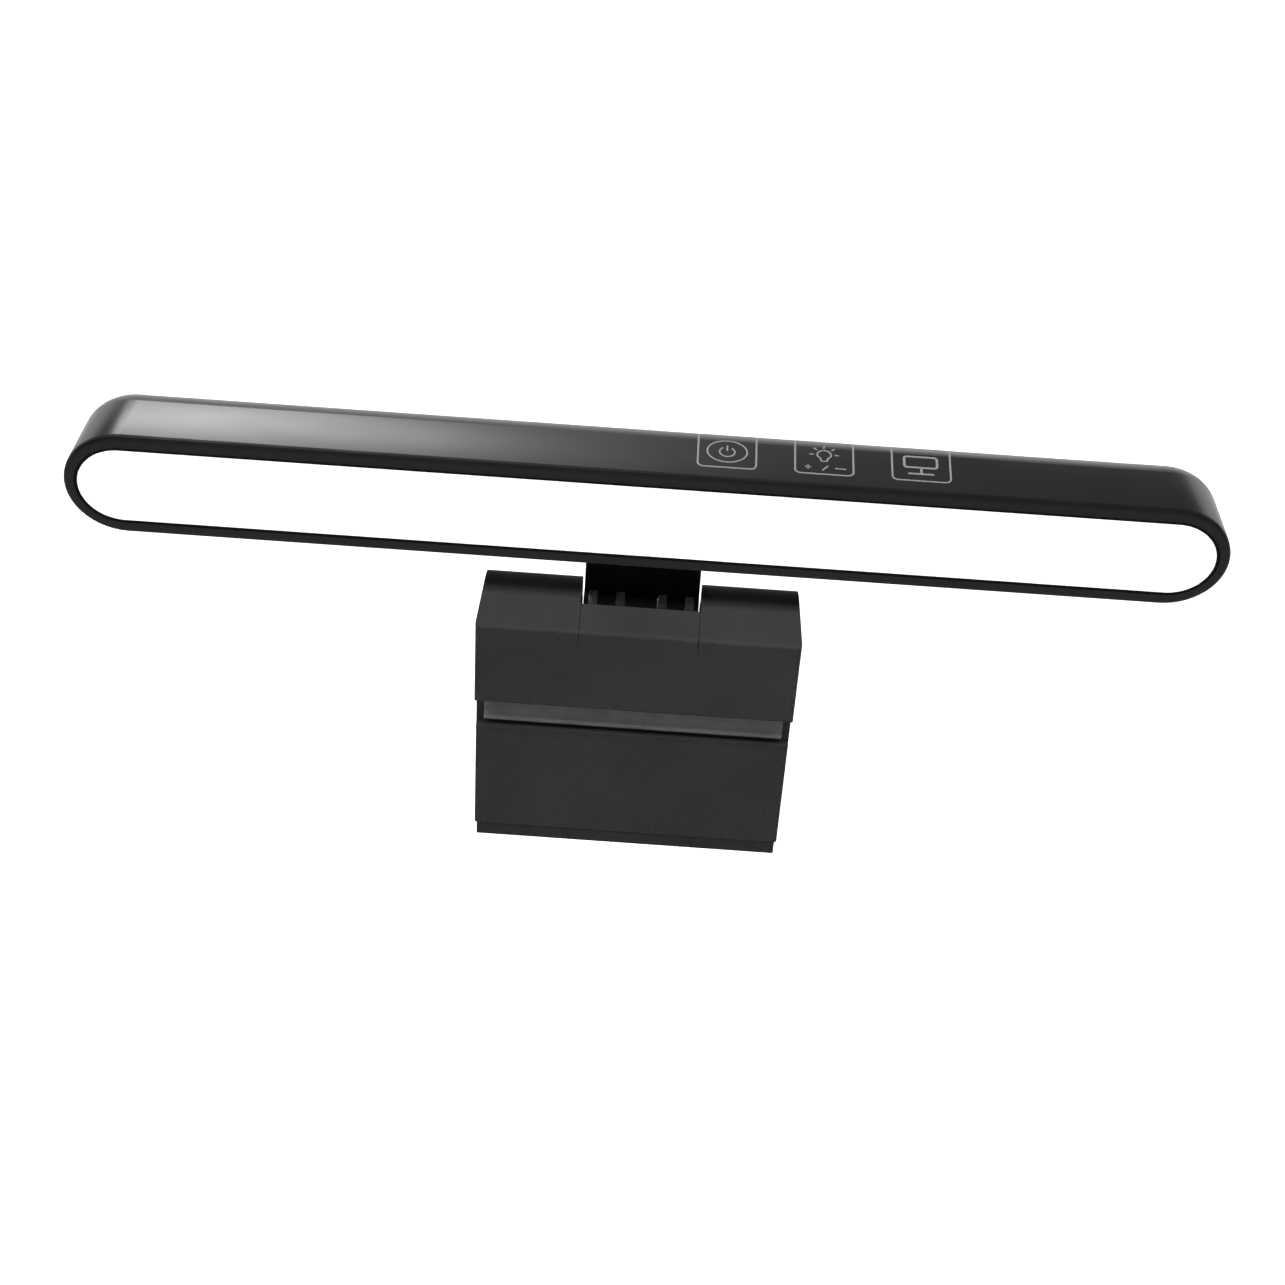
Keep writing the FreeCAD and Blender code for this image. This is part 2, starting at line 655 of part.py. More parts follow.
# ---------------------------------------------------------------- clip head
def head_plan():
    """The head's outline from above, narrowing towards the back, as a tall block."""
    depth = HEAD_BACK_Y - HEAD_FRONT_Y
    back_half = HEAD_HALF - depth * math.tan(math.radians(HEAD_TAPER_DEG))
    low = FreeCAD.Vector(0, 0, LIP_BOTTOM_Z - 10)
    corners = [
        FreeCAD.Vector(-HEAD_HALF, HEAD_FRONT_Y, 0) + low,
        FreeCAD.Vector(HEAD_HALF, HEAD_FRONT_Y, 0) + low,
        FreeCAD.Vector(back_half, HEAD_BACK_Y, 0) + low,
        FreeCAD.Vector(-back_half, HEAD_BACK_Y, 0) + low,
    ]
    face = Part.Face(Part.makePolygon(corners + corners[:1]))
    plan = face.extrude(FreeCAD.Vector(0, 0, HEAD_TOP_Z - LIP_BOTTOM_Z + 20))
    return round_edges(
        plan,
        HEAD_CORNER_ROUND,
        lambda edge: runs_along(edge, "Z", 5.0) and edge.BoundBox.YMax < HEAD_FRONT_Y + 1,
    )


def head_block():
    """The head's full outer form before anything is hollowed."""
    wide = (-HEAD_HALF, HEAD_HALF)
    axis_y, axis_z = TILT_AXIS
    front = box(wide, (HEAD_FRONT_Y, axis_y), (HEAD_UNDER_Z, HEAD_TOP_Z))
    back = box(wide, (axis_y, HEAD_BACK_Y), (HEAD_UNDER_Z, axis_z))
    lug = rod_x(LUG_R, wide, TILT_AXIS)
    lip = box(wide, (HEAD_FRONT_Y, LIP_BACK_Y), (LIP_BOTTOM_Z, HEAD_TOP_Z))
    block = round_edges(
        join([front, back, lug, lip]),
        HEAD_EDGE_ROUND,
        lambda edge: lies_at(edge, "Y", HEAD_FRONT_Y) and edge.BoundBox.XLength > HEAD_HALF,
    )
    return block.common(head_plan())


def hinge_notch():
    """The slot between the lugs that the neck's barrel turns in."""
    half = NOTCH_WIDTH / 2
    y = (NOTCH_FRONT_Y, HEAD_BACK_Y + 1)
    return box((-half, half), y, (BASE_TOP_Z, HEAD_TOP_Z + 1))


def head_shell():
    """The moulded head: lip, top, two hinge lugs and the hollows between them."""
    block = head_block()
    pockets = []
    notch_half = NOTCH_WIDTH / 2
    front = HEAD_FRONT_Y + HEAD_WALL
    ceiling = HEAD_TOP_Z - HEAD_WALL
    back = HEAD_BACK_Y - HEAD_WALL
    posts = [rod_z(POST_R + 0.4, (BASE_TOP_Z - 1, ceiling + 1), x, y) for x, y in BASE_SCREWS]
    for side in (-1, 1):
        x = (side * (notch_half + HEAD_WALL), side * (HEAD_HALF - HEAD_WALL - 1.2))
        fore = box(x, (front, TILT_AXIS[0]), (BASE_TOP_Z, ceiling))
        round_part = rod_x(LUG_R - HEAD_WALL, x, TILT_AXIS)
        rear = box(x, (TILT_AXIS[0], back), (BASE_TOP_Z, TILT_AXIS[1]))
        inside = box(x, (front, back), (BASE_TOP_Z, ceiling))
        pocket = join([fore, rear, round_part]).common(inside)
        boss_x = (side * notch_half, side * (TILT_PIN_HALF + 1.5))
        boss = rod_x(BUSH_R + HEAD_WALL, boss_x, TILT_AXIS)
        pockets.append(cut(pocket, [boss] + posts))
    centre = box(
        (-notch_half + HEAD_WALL, notch_half - HEAD_WALL),
        (front, NOTCH_FRONT_Y - HEAD_WALL),
        (BASE_TOP_Z, ceiling - COVER_THICK),
    )
    floor = box(
        (-HEAD_HALF + 3.4, HEAD_HALF - 3.4),
        (LIP_BACK_Y, HEAD_BACK_Y - HEAD_WALL),
        (HEAD_UNDER_Z - 1, BASE_TOP_Z),
    )
    bores = [rod_x(TILT_PIN_R, (-TILT_PIN_HALF, TILT_PIN_HALF), TILT_AXIS)]
    for side in (-1, 1):
        reach = (side * notch_half, side * (notch_half + BUSH_LENGTH))
        bores.append(rod_x(BUSH_R, reach, TILT_AXIS))
    holes = [rod_z(SCREW_HOLE_R, (0, BASE_TOP_Z + 7), x, y) for x, y in BASE_SCREWS]
    return cut(block, pockets + [centre, floor, hinge_notch(), cover_recess()] + bores + holes)


def cover_form(seam):
    """The L-shaped hinge cover's outer form, grown by the seam's width."""
    half = COVER_WIDTH / 2 + seam
    top = box(
        (-half, half),
        (HEAD_FRONT_Y - 1, NOTCH_FRONT_Y + 1),
        (HEAD_TOP_Z - COVER_THICK - seam, HEAD_TOP_Z + 1),
    )
    drop = box(
        (-half, half),
        (HEAD_FRONT_Y - 1, HEAD_FRONT_Y + COVER_THICK + seam),
        (HEAD_TOP_Z - COVER_DROP, HEAD_TOP_Z + 1),
    )
    return join([top, drop])


def cover_recess():
    """The step in the head that the hinge cover lies in."""
    return cover_form(COVER_SEAM)


def hinge_cover():
    """The plate that closes the head in front of the hinge and folds over its front edge."""
    within = box(
        (-HEAD_HALF, HEAD_HALF),
        (HEAD_FRONT_Y - 1, NOTCH_FRONT_Y),
        (LIP_BOTTOM_Z, HEAD_TOP_Z + 1),
    )
    return head_block().common(cover_form(0)).common(within)


def head_base():
    """The plate that closes the head from below and carries two knuckles for the leg."""
    half = HEAD_HALF - 3.4 - SLIDING_GAP
    y = (LIP_BACK_Y + SLIDING_GAP, HEAD_BACK_Y - HEAD_WALL - SLIDING_GAP)
    plate = box((-half, half), y, (HEAD_UNDER_Z, BASE_TOP_Z))
    parts = [plate]
    for x in HEAD_KNUCKLES:
        axis_y, axis_z = LEG_AXIS
        web_y = (axis_y - KNUCKLE_R, y[1])
        web = box(x, web_y, (axis_z, HEAD_UNDER_Z))
        knuckle = rod_x(KNUCKLE_R, x, LEG_AXIS)
        parts += [web, knuckle]
    base = join(parts)
    tools = [rod_x(LEG_PIN_R, (-LEG_PIN_HALF, LEG_PIN_HALF), LEG_AXIS)]
    for x, y in BASE_SCREWS:
        tools.append(rod_z(SCREW_HOLE_R, (HEAD_UNDER_Z - 1, BASE_TOP_Z + 1), x, y))
    return cut(base, tools)


def base_screws():
    """The screws that hold the base plate, under the seat pad."""
    seats = [(x, y, HEAD_UNDER_Z) for x, y in BASE_SCREWS]
    return Part.makeCompound([screw(seat, (0, 0, 1), 7.0) for seat in seats])


def seat_pad():
    """The soft pad that rests on the screen's top edge."""
    half_x, half_y = SEAT_HALF
    pad = box((-half_x, half_x), (-half_y, half_y), (0, HEAD_UNDER_Z))
    pad = round_edges(pad, 1.5, lambda edge: runs_along(edge, "Z", 1.0))
    wells = []
    for x, y in BASE_SCREWS:
        well = (HEAD_UNDER_Z - SCREW_HEAD_H - SLIDING_GAP, HEAD_UNDER_Z + 1)
        wells.append(rod_z(SCREW_HEAD_R + SLIDING_GAP, well, x, y))
    return cut(pad, wells)


def lip_pad():
    """The soft pad behind the lip, against the front of the screen."""
    half = SEAT_HALF[0]
    pad = box((-half, half), (LIP_BACK_Y, LIP_PAD_Y), (LIP_BOTTOM_Z + 0.8, -0.6))
    return round_edges(pad, 1.5, lambda edge: runs_along(edge, "Y", 1.0))


def tilt_pin():
    """The pin that the neck tilts on."""
    return rod_x(TILT_PIN_R, (-TILT_PIN_HALF, TILT_PIN_HALF), TILT_AXIS)


def tilt_bushes():
    """The brass bushes in the two lugs, each with a thin flange beside the neck."""
    bushes = []
    for side in (-1, 1):
        start = side * NOTCH_WIDTH / 2
        flange_end = start - side * BUSH_FLANGE_THICK
        sleeve = rod_x(BUSH_R, (start, start + side * BUSH_LENGTH), TILT_AXIS)
        flange = rod_x(BUSH_FLANGE_R, (flange_end, start), TILT_AXIS)
        pin = rod_x(TILT_PIN_R, (-TILT_PIN_HALF, TILT_PIN_HALF), TILT_AXIS)
        bushes.append(join([sleeve, flange]).cut(pin))
    return Part.makeCompound(bushes)


# ---------------------------------------------------------------- leg
def leg_pin():
    """The pin that the leg swings on."""
    return rod_x(LEG_PIN_R, (-LEG_PIN_HALF, LEG_PIN_HALF), LEG_AXIS)


def leg_spring():
    """The coil round the leg pin that closes the clip, with one arm up and one down."""
    pitch = SPRING_LENGTH / SPRING_TURNS
    start = -SPRING_LENGTH / 2
    helix = Part.makeHelix(pitch, SPRING_LENGTH, SPRING_COIL_R)
    origin = FreeCAD.Vector(SPRING_COIL_R, 0, 0)
    ring = Part.Wire(Part.Circle(origin, Y_AXIS, SPRING_WIRE_R).toShape())
    coil = Part.Wire(helix.Edges).makePipeShell([ring], True, True)
    turn = FreeCAD.Rotation(Z_AXIS, X_AXIS)
    place = FreeCAD.Vector(start, LEG_AXIS[0], LEG_AXIS[1])
    coil.Placement = FreeCAD.Placement(place, turn)
    return coil


def leg_profile(front, back, bottom):
    """The leg's side view: upright plate, sloping shoulder and nape up to the pin."""
    axis_y, axis_z = LEG_AXIS
    return [
        (front, bottom),
        (front, LEG_SHOULDER_Z),
        (axis_y - 2.6, axis_z - 2.2),
        (axis_y, axis_z),
        (axis_y + KNUCKLE_R, axis_z),
        (axis_y + 2.4, axis_z - 4.6),
        (back, LEG_NAPE_Z),
        (back, bottom),
    ]


def leg_form():
    """The leg's outer form, with its knuckles and the gaps between them."""
    wide = (-HEAD_HALF, HEAD_HALF)
    axis_y, axis_z = LEG_AXIS
    body = prism_x(leg_profile(LEG_FRONT_Y, LEG_BACK_Y, FOOT_TOP_Z), wide)
    body = round_edges(body, 0.7, lambda edge: runs_along(edge, "Z", 20.0))
    clear = KNUCKLE_R + 0.5
    starts = [-HEAD_HALF - 1] + [x[1] for x in LEG_KNUCKLES]
    ends = [x[0] for x in LEG_KNUCKLES] + [HEAD_HALF + 1]
    gaps = []
    for start, end in zip(starts, ends):
        gaps.append(rod_x(clear, (start, end), LEG_AXIS))
        gaps.append(box((start, end), (axis_y, axis_y + 8), (axis_z - clear, axis_z + 1)))
    body = cut(body, gaps)
    return join([body] + [rod_x(KNUCKLE_R, x, LEG_AXIS) for x in LEG_KNUCKLES])


def leg_cavity():
    """The hollow inside the upright plate."""
    x = HEAD_HALF - LEG_WALL
    y = (LEG_FRONT_Y + LEG_WALL + 0.4, LEG_BACK_Y + 1)
    return box((-x, x), y, (FOOT_TOP_Z + LEG_WALL, LEG_NAPE_Z - LEG_WALL))


def leg_front_shell():
    """The moulded leg: front plate, side walls, arms and knuckles."""
    recess = box(
        (-HEAD_HALF - 1, HEAD_HALF + 1),
        (LEG_FRONT_Y - 1, LEG_FRONT_Y + RECESS_DEPTH),
        (RECESS_BOTTOM_Z, LEG_SHOULDER_Z - 0.3),
    )
    bore = rod_x(LEG_PIN_R + RUNNING_GAP, (-HEAD_HALF - 1, HEAD_HALF + 1), LEG_AXIS)
    shell = cut(leg_form(), [recess, leg_cavity(), bore])
    shell = round_edges(
        shell,
        RECESS_EDGE_ROUND,
        lambda edge: lies_at(edge, "Z", RECESS_BOTTOM_Z) and lies_at(edge, "Y", LEG_FRONT_Y),
    )
    posts = []
    for x, z in LEG_SCREWS:
        post = rod_y(POST_R, (LEG_FRONT_Y + LEG_WALL, LEG_BACK_Y - COVER_PLATE), x, z)
        posts.append(post)
    shell = join([shell] + posts)
    holes = [
        rod_y(SCREW_HOLE_R, (LEG_FRONT_Y + LEG_WALL + 1, LEG_BACK_Y), x, z) for x, z in LEG_SCREWS
    ]
    tongue = box(
        (-FOOT_TONGUE_HALF - SLIDING_GAP, FOOT_TONGUE_HALF + SLIDING_GAP),
        (FOOT_TONGUE_Y[0] - SLIDING_GAP, FOOT_TONGUE_Y[1] + SLIDING_GAP),
        (FOOT_TOP_Z - 1, FOOT_TOP_Z + LEG_WALL + 1),
    )
    return cut(shell, holes + [tongue])


def leg_rear_cover():
    """The plate that closes the leg from behind."""
    x = HEAD_HALF - LEG_WALL - SLIDING_GAP
    z = (FOOT_TOP_Z + LEG_WALL + SLIDING_GAP, LEG_NAPE_Z - LEG_WALL - SLIDING_GAP)
    plate = box((-x, x), (LEG_BACK_Y - COVER_PLATE, LEG_BACK_Y), z)
    plate = round_edges(plate, 1.0, lambda edge: runs_along(edge, "Y", 1.0))
    holes = []
    for x, z in LEG_SCREWS:
        holes.append(rod_y(SCREW_HOLE_R, (LEG_BACK_Y - 3, LEG_BACK_Y + 1), x, z))
        seat = LEG_BACK_Y - SCREW_HEAD_H
        holes.append(rod_y(SCREW_HEAD_R + SLIDING_GAP, (seat, LEG_BACK_Y + 1), x, z))
    return cut(plate, holes)


def leg_screws():
    """The screws that hold the rear cover."""
    seats = [(x, LEG_BACK_Y - SCREW_HEAD_H, z) for x, z in LEG_SCREWS]
    return Part.makeCompound([screw(seat, (0, -1, 0), 4.0) for seat in seats])


def leg_weight():
    """The steel plate inside the leg."""
    front = LEG_FRONT_Y + LEG_WALL + 0.6
    plate = box((-27.0, 27.0), (front, front + 2.4), (-50.0, -26.0))
    return round_edges(plate, 2.0, lambda edge: runs_along(edge, "Y", 1.0))


def leg_pad():
    """The soft strip across the leg's front, with two ridges."""
    x = (-LEG_PAD_WIDTH / 2, LEG_PAD_WIDTH / 2)
    tip = LEG_FRONT_Y - RIDGE_HEIGHT
    dip = tip + RIDGE_DIP
    strip = box(x, (dip, LEG_FRONT_Y + RECESS_DEPTH), LEG_PAD_Z)
    ridges = []
    for z in RIDGE_Z:
        outline = [
            (dip + 0.5, z - RIDGE_BASE_HALF),
            (dip, z - RIDGE_BASE_HALF),
            (tip, z - RIDGE_TIP_HALF),
            (tip, z + RIDGE_TIP_HALF),
            (dip, z + RIDGE_BASE_HALF),
            (dip + 0.5, z + RIDGE_BASE_HALF),
        ]
        ridges.append(prism_x(outline, x))
    return join([strip] + ridges)


def leg_foot():
    """The soft end piece at the bottom of the leg, held by a tongue."""
    half = HEAD_HALF - FOOT_INSET
    block = box(
        (-half, half), (LEG_FRONT_Y + 0.3, LEG_BACK_Y - 0.3), (FOOT_BOTTOM_Z, FOOT_TOP_Z)
    )
    block = round_edges(block, FOOT_EDGE_ROUND, lambda edge: lies_at(edge, "Z", FOOT_BOTTOM_Z))
    tongue_z = (FOOT_TOP_Z, FOOT_TOP_Z + LEG_WALL + 0.6)
    tongue = box((-FOOT_TONGUE_HALF, FOOT_TONGUE_HALF), FOOT_TONGUE_Y, tongue_z)
    return join([block, tongue])


# ---------------------------------------------------------------- parts list
PARTS = {
    "bar_housing": bar_housing,
    "front_bezel": front_bezel,
    "diffuser": diffuser,
    "reflector_tray": reflector_tray,
    "led_board": led_board,
    "warm_leds": lambda: leds(0),
    "cool_leds": lambda: leds(1),
    "heat_spreader": heat_spreader,
    "bar_screws": bar_screws,
    "control_board": control_board,
    "control_chips": control_chips,
    "touch_board": touch_board,
    "touch_electrodes": touch_electrodes,
    "touch_ribbon": touch_ribbon,
    "usb_shell": usb_shell,
    "usb_tongue": usb_tongue,
    "power_board": power_board,
    "power_leads": power_leads,
    "light_leads": light_leads,
    "neck_bracket": neck_bracket,
    "bracket_screws": bracket_screws,
    "neck_front_shell": neck_front_shell,
    "neck_rear_shell": neck_rear_shell,
    "neck_screws": neck_screws,
    "friction_rings": friction_rings,
    "head_shell": head_shell,
    "hinge_cover": hinge_cover,
    "head_base": head_base,
    "base_screws": base_screws,
    "seat_pad": seat_pad,
    "lip_pad": lip_pad,
    "tilt_pin": tilt_pin,
    "tilt_bushes": tilt_bushes,
    "leg_pin": leg_pin,
    "leg_spring": leg_spring,
    "leg_front_shell": leg_front_shell,
    "leg_rear_cover": leg_rear_cover,
    "leg_screws": leg_screws,
    "leg_weight": leg_weight,
    "leg_pad": leg_pad,
    "leg_foot": leg_foot,
}

os.makedirs("parts", exist_ok=True)
for name, make in PARTS.items():
    shape = make()
    print(name, len(shape.Solids), "solids", round(shape.Volume, 1), "mm3", shape.isValid())
    shape.exportStep("parts/" + name + ".step")
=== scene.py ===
import bpy
import bmesh
import json
import math
from mathutils import Matrix, Vector

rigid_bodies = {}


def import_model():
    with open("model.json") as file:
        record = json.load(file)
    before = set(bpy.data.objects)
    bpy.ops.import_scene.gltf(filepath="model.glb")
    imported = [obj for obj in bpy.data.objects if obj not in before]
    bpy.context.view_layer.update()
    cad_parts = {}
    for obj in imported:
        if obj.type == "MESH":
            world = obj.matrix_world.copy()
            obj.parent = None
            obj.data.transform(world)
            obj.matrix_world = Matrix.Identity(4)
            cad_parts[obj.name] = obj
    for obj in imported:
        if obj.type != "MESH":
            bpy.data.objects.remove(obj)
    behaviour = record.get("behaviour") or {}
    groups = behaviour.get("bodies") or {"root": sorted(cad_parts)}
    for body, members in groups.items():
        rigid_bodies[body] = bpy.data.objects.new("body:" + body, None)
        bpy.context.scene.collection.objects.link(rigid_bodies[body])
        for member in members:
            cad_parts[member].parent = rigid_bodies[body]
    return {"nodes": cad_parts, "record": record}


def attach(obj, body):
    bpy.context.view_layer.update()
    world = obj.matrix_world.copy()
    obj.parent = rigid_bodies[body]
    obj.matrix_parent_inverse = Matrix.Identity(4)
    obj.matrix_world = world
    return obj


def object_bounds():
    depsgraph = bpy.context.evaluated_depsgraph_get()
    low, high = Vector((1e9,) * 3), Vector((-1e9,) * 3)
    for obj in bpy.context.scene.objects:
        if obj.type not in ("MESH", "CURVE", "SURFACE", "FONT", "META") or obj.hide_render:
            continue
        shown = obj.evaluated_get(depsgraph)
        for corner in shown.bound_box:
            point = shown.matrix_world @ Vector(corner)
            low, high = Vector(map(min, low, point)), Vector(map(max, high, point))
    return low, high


for leftover in list(bpy.data.objects):
    bpy.data.objects.remove(leftover)

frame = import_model()
cad_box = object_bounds()
nodes = frame["nodes"]

MM = 0.001

# ---------------------------------------------------------------- camera
# It looks down at the lit side from the front, 42.65 degrees above the horizon,
# with the frame turned so that the bar's right end hangs lower.
CAMERA_PLACE = Vector((0.967, -469.9, 439.7)) * MM
CAMERA_DOWN = math.radians(42.65)
CAMERA_ROLL = math.radians(4.0)
CAMERA_LENS = 76.54
CAMERA_SENSOR = 36.0
CAMERA_CLIP = (0.01, 50.0)


def make_camera():
    data = bpy.data.cameras.new("camera")
    data.lens = CAMERA_LENS
    data.sensor_width = CAMERA_SENSOR
    data.clip_start, data.clip_end = CAMERA_CLIP
    camera = bpy.data.objects.new("camera", data)
    bpy.context.scene.collection.objects.link(camera)
    tip = Matrix.Rotation(math.pi / 2 - CAMERA_DOWN, 4, "X")
    roll = Matrix.Rotation(CAMERA_ROLL, 4, "Z")
    camera.matrix_world = Matrix.Translation(CAMERA_PLACE) @ tip @ roll
    bpy.context.scene.camera = camera


# ---------------------------------------------------------------- studio
# The white backdrop shows to the camera alone, and the pale floor to the camera and in
# reflections. Only the lamps light the object, so its dark plastic keeps its tone.
WHITE = (1.0, 1.0, 1.0, 1.0)
FLOOR_DROP = 0.40
FLOOR_SIZE = 14.0

# Each light: name, direction from the object, distance and size in metres, power in watts.
KEY_LIGHT = ("key", (0.0, -0.432, 0.902), 1.5, (1.1, 0.26), 5.0)
KEY_SPREAD = math.radians(70.0)
FILLS = (
    ("front_fill", (0.0, -1.0, 0.25), 2.5, (3.0, 1.5), 12.0),
    ("rear_fill", (0.20, 0.70, -0.70), 1.6, (1.4, 1.0), 52.0),
    ("left_fill", (-1.0, 0.45, -0.35), 1.6, (0.8, 0.8), 3.0),
    ("right_fill", (1.0, 0.45, -0.35), 1.6, (0.8, 0.8), 3.0),
)
SHEEN_BOX = ("sheen_box", (-0.42, 1.184, 0.993), 1.60, (0.46, 0.26), 8.0)
HORIZON_GLOW = ("horizon_glow", (0.0, 1.0, 0.0), 3.0, (7.0, 1.3), 40.0)
HORIZON_GLOW_HEIGHT = 0.45
FRONT_PANEL = ("front_panel", (0.0, -1.0, 0.6), 2.5, (3.0, 1.6), 10.0)


def make_world():
    """A white backdrop behind everything."""
    world = bpy.data.worlds.new("studio")
    world.use_nodes = True
    world.node_tree.nodes["Background"].inputs["Color"].default_value = WHITE
    world.cycles_visibility.diffuse = False
    world.cycles_visibility.glossy = False
    bpy.context.scene.world = world
    bpy.context.scene.view_settings.view_transform = "Standard"


def make_floor():
    """A pale floor well under the object."""
    mesh = bpy.data.meshes.new("floor")
    half = FLOOR_SIZE / 2
    corners = [(-half, -half), (half, -half), (half, half), (-half, half)]
    low = cad_box[0].z - FLOOR_DROP
    mesh.from_pydata([(x, y, low) for x, y in corners], [], [(0, 1, 2, 3)])
    floor = bpy.data.objects.new("floor", mesh)
    bpy.context.scene.collection.objects.link(floor)
    mesh.materials.append(floor_material())
    floor.visible_diffuse = False
    floor.visible_shadow = False


def soft_light(name, direction, distance, size, power, reflected=False):
    """An area light aimed at the object, which it either lights or is only reflected in."""
    data = bpy.data.lights.new(name, "AREA")
    data.shape = "RECTANGLE"
    data.size, data.size_y = size
    data.energy = power
    light = bpy.data.objects.new(name, data)
    bpy.context.scene.collection.objects.link(light)
    aim = Vector(direction).normalized()
    light.location = aim * distance
    light.rotation_mode = "QUATERNION"
    light.rotation_quaternion = aim.to_track_quat("Z", "Y")
    light.visible_camera = False
    light.visible_glossy = reflected
    light.visible_diffuse = not reflected
    return light


def make_lights():
    """A soft key high in front, fills around, and panels seen only in the sheen."""
    key = soft_light(*KEY_LIGHT)
    key.data.spread = KEY_SPREAD
    for fill in FILLS:
        soft_light(*fill)
    soft_light(*SHEEN_BOX, reflected=True)
    glow = soft_light(*HORIZON_GLOW, reflected=True)
    glow.location.z = HORIZON_GLOW_HEIGHT
    soft_light(*FRONT_PANEL, reflected=True)


# ---------------------------------------------------------------- material tools
# The part of a noise's values that is spread over a finish's own range.
NOISE_LOW = 0.3
NOISE_HIGH = 0.7


class Surface:
    """A principled material with procedural colour, roughness and bump."""

    def __init__(self, name, roughness, metallic=0.0, specular=None):
        self.material = bpy.data.materials.new(name)
        self.material.use_nodes = True
        self.tree = self.material.node_tree
        self.shader = self.tree.nodes["Principled BSDF"]
        self.shader.inputs["Roughness"].default_value = roughness
        self.shader.inputs["Metallic"].default_value = metallic
        if specular is not None:
            self.shader.inputs["Specular IOR Level"].default_value = specular
        self.where = self.tree.nodes.new("ShaderNodeTexCoord").outputs["Object"]
        self.height = None

    def noise(self, scale, detail=2.0, stretch=None):
        """A noise value between 0 and 1; its scale is in features per metre."""
        place = self.where
        if stretch:
            mapping = self.tree.nodes.new("ShaderNodeMapping")
            mapping.inputs["Scale"].default_value = stretch
            self.tree.links.new(place, mapping.inputs["Vector"])
            place = mapping.outputs["Vector"]
        node = self.tree.nodes.new("ShaderNodeTexNoise")
        node.inputs["Scale"].default_value = scale
        node.inputs["Detail"].default_value = detail
        self.tree.links.new(place, node.inputs["Vector"])
        return node.outputs["Fac"]

    def cells(self, scale):
        """Distance to the middle of small random cells; the scale is in cells per metre."""
        node = self.tree.nodes.new("ShaderNodeTexVoronoi")
        node.inputs["Scale"].default_value = scale
        self.tree.links.new(self.where, node.inputs["Vector"])
        return node.outputs["Distance"]

    def maths(self, operation, first, second=0.0):
        """A sum on two values, each a number or another node's output."""
        node = self.tree.nodes.new("ShaderNodeMath")
        node.operation = operation
        for value, socket in zip((first, second), node.inputs):
            if isinstance(value, float):
                socket.default_value = value
            else:
                self.tree.links.new(value, socket)
        return node.outputs["Value"]

    def along(self, axis):
        """The place along an axis, in metres."""
        parts = self.tree.nodes.new("ShaderNodeSeparateXYZ")
        self.tree.links.new(self.where, parts.inputs["Vector"])
        return parts.outputs[axis]

    def crown(self, middle, steepness):
        """A height in metres that falls off in Y to both sides of a middle line."""
        away = self.maths("SUBTRACT", self.along("Y"), middle)
        return self.maths("MULTIPLY", self.maths("MULTIPLY", away, away), -steepness)

    def spread(self, value, low, high):
        """A noise value taken to low..high."""
        node = self.tree.nodes.new("ShaderNodeMapRange")
        node.inputs["From Min"].default_value = NOISE_LOW
        node.inputs["From Max"].default_value = NOISE_HIGH
        node.inputs["To Min"].default_value = low
        node.inputs["To Max"].default_value = high
        self.tree.links.new(value, node.inputs["Value"])
        return node.outputs["Result"]

    def colours(self, value, start, end):
        """Colour the surface by a value, between two stops (position, (r, g, b))."""
        node = self.tree.nodes.new("ShaderNodeValToRGB")
        for element, (position, colour) in zip(node.color_ramp.elements, (start, end)):
            element.position = position
            element.color = (*colour, 1.0)
        self.tree.links.new(value, node.inputs["Fac"])
        self.tree.links.new(node.outputs["Color"], self.shader.inputs["Base Color"])

    def roughness(self, value, low, high):
        """Vary the roughness by a value."""
        self.tree.links.new(self.spread(value, low, high), self.shader.inputs["Roughness"])

    def bump(self, value, depth):
        """Raise the surface by a value; the depth is in metres. Calls add up."""
        node = self.tree.nodes.new("ShaderNodeBump")
        node.inputs["Distance"].default_value = depth
        node.inputs["Strength"].default_value = 1.0
        self.tree.links.new(value, node.inputs["Height"])
        if self.height:
            self.tree.links.new(self.height, node.inputs["Normal"])
        self.height = node.outputs["Normal"]
        self.tree.links.new(self.height, self.shader.inputs["Normal"])


def grey(value):
    return (value, value, value)


# ---------------------------------------------------------------- finishes
# Tones are linear greys, scales are features per metre, and depths are metres.
MOULD_GRAIN = 2600.0
MOULD_DEPTH = 0.028 * MM
CELLS_TO_GRAIN = 1.7
CELLS_TO_DEPTH = 0.7

PAINT_CROWN_MIDDLE = 6.6 * MM
PAINT_CROWN_STEEPNESS = 4.5

WINDOW_HALF = 117.15 * MM
WINDOW_RADIUS = 10.65 * MM
WINDOW_CENTRE_Z = 47.1 * MM
WINDOW_BORDER = 0.70 * MM
WINDOW_GLOW = 0.6

LINES_ALONG_X = (0.05, 1.0, 1.0)
SMEARS_ALONG_X = (0.35, 1.0, 1.0)


def floor_material():
    surface = Surface("floor", 0.9, specular=0.0)
    surface.colours(surface.noise(scale=2.0), (0.0, grey(0.93)), (1.0, grey(0.95)))
    surface.shader.inputs["Emission Color"].default_value = WHITE
    surface.shader.inputs["Emission Strength"].default_value = 1.0
    return surface.material


def moulded(name, tone, roughness, grain=MOULD_GRAIN, depth=MOULD_DEPTH, specular=0.3):
    """Spark-eroded moulded plastic: a fine even grain and faint handling marks."""
    surface = Surface(name, roughness, specular=specular)
    patches = surface.noise(scale=38.0, detail=4.0)
    surface.colours(patches, (0.25, grey(tone * 0.86)), (0.75, grey(tone * 1.14)))
    marks = surface.noise(scale=120.0, detail=5.0)
    surface.roughness(marks, roughness - 0.06, roughness + 0.07)
    surface.bump(surface.noise(grain), depth)
    surface.bump(surface.cells(grain * CELLS_TO_GRAIN), depth * CELLS_TO_DEPTH)
    return surface


